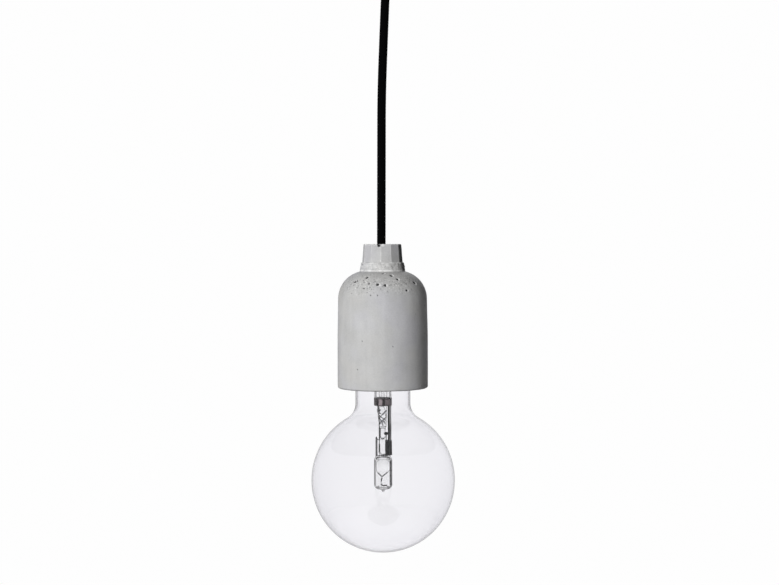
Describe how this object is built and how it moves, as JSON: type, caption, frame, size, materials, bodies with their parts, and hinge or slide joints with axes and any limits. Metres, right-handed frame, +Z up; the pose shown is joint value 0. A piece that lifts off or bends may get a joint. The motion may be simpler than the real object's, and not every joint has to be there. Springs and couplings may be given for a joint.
{
  "type": "pendant ceiling light",
  "caption": "Pendant ceiling light with a round ceiling cup, a black textile cord, a cast concrete lampholder cover and a clear globe bulb that unscrews.",
  "frame": {"origin": "centre of the ceiling plane, on the axis of the ceiling cup", "axes": "+Z up, with the lamp hanging along -Z; -Y is the front; the bracket's screw slots lie along X"},
  "size_m": [0.095, 0.095, 0.4328],
  "materials": {
    "cup_paint": "matte black powder coat",
    "zinc_steel": "zinc plated",
    "white_plastic": "moulded",
    "black_plastic": "moulded thermoplastic",
    "steatite": "unglazed steatite",
    "brass": "bright",
    "screw_steel": "bright",
    "textile": "braided textile",
    "live_insulation": "extruded",
    "neutral_insulation": "extruded",
    "ring_rubber": "moulded",
    "concrete": "cast concrete with open air pores",
    "clear_glass": "clear, blown",
    "quartz": "clear fused quartz",
    "cap_metal": "nickelled",
    "black_glass": "black vitreous insulator",
    "lead_metal": "nickelled wire and strip",
    "tungsten": "drawn wire"
  },
  "bodies": {
    "ceiling": {"ceiling_bracket": "zinc_steel", "canopy_cup": "cup_paint", "canopy_screws": "zinc_steel", "terminal_block": "white_plastic", "terminal_tubes": "brass", "terminal_screws": "screw_steel", "cord_grip": "cup_paint", "grip_screw": "zinc_steel", "grip_washer": "zinc_steel", "grip_nut": "zinc_steel", "inner_cord": "textile", "ceiling_live_wire": "live_insulation", "ceiling_neutral_wire": "neutral_insulation"},
    "swivel": {"outlet_ring": "ring_rubber"},
    "pendant": {"cord": "textile", "concrete_shell": "concrete", "threaded_nipple": "zinc_steel", "nipple_washer": "zinc_steel", "nipple_nut": "zinc_steel", "lampholder_cap": "black_plastic", "lampholder_skirt": "black_plastic", "socket_core": "steatite", "screw_shell": "brass", "shell_contact": "brass", "holder_terminals": "brass", "holder_terminal_screws": "screw_steel", "cord_clamp": "black_plastic", "cord_clamp_screws": "zinc_steel", "holder_live_wire": "live_insulation", "holder_neutral_wire": "neutral_insulation"},
    "contact": {"centre_contact": "brass"},
    "bulb": {"globe_glass": "clear_glass", "bulb_cap": "cap_metal", "cap_insulator": "black_glass", "cap_tip": "brass", "cap_wires": "lead_metal", "stem_glass": "clear_glass", "exhaust_tube": "clear_glass", "stem_band": "lead_metal", "stem_press": "clear_glass", "lead_wire": "lead_metal", "right_lead": "lead_metal", "support_bar": "lead_metal", "bead_tube": "clear_glass", "weld_tab": "lead_metal", "capsule_glass": "quartz", "capsule_foils": "lead_metal", "capsule_leads": "lead_metal", "filament": "tungsten", "filament_support": "lead_metal"}
  },
  "joints": [
    {"name": "swing_side", "type": "hinge", "parent": "ceiling", "child": "swivel", "pos_m": [0, 0, -0.057], "axis": [0, 1, 0], "range_deg": [-30, 30]},
    {"name": "swing_front", "type": "hinge", "parent": "swivel", "child": "pendant", "pos_m": [0, 0, -0.057], "axis": [1, 0, 0], "range_deg": [-30, 30]},
    {"name": "bulb_travel", "type": "slide", "parent": "pendant", "child": "contact", "axis": [0, 0, -1], "range_m": [0, 0.0112]},
    {"name": "bulb_turn", "type": "hinge", "parent": "contact", "child": "bulb", "pos_m": [-0.0029, 0, -0.309], "axis": [0, 0, -1], "range_deg": [0, 1080]}
  ],
  "couplings": [
    {"joint": "bulb_travel", "follows": "bulb_turn", "m_per_rad": 0.0005775}
  ]
}
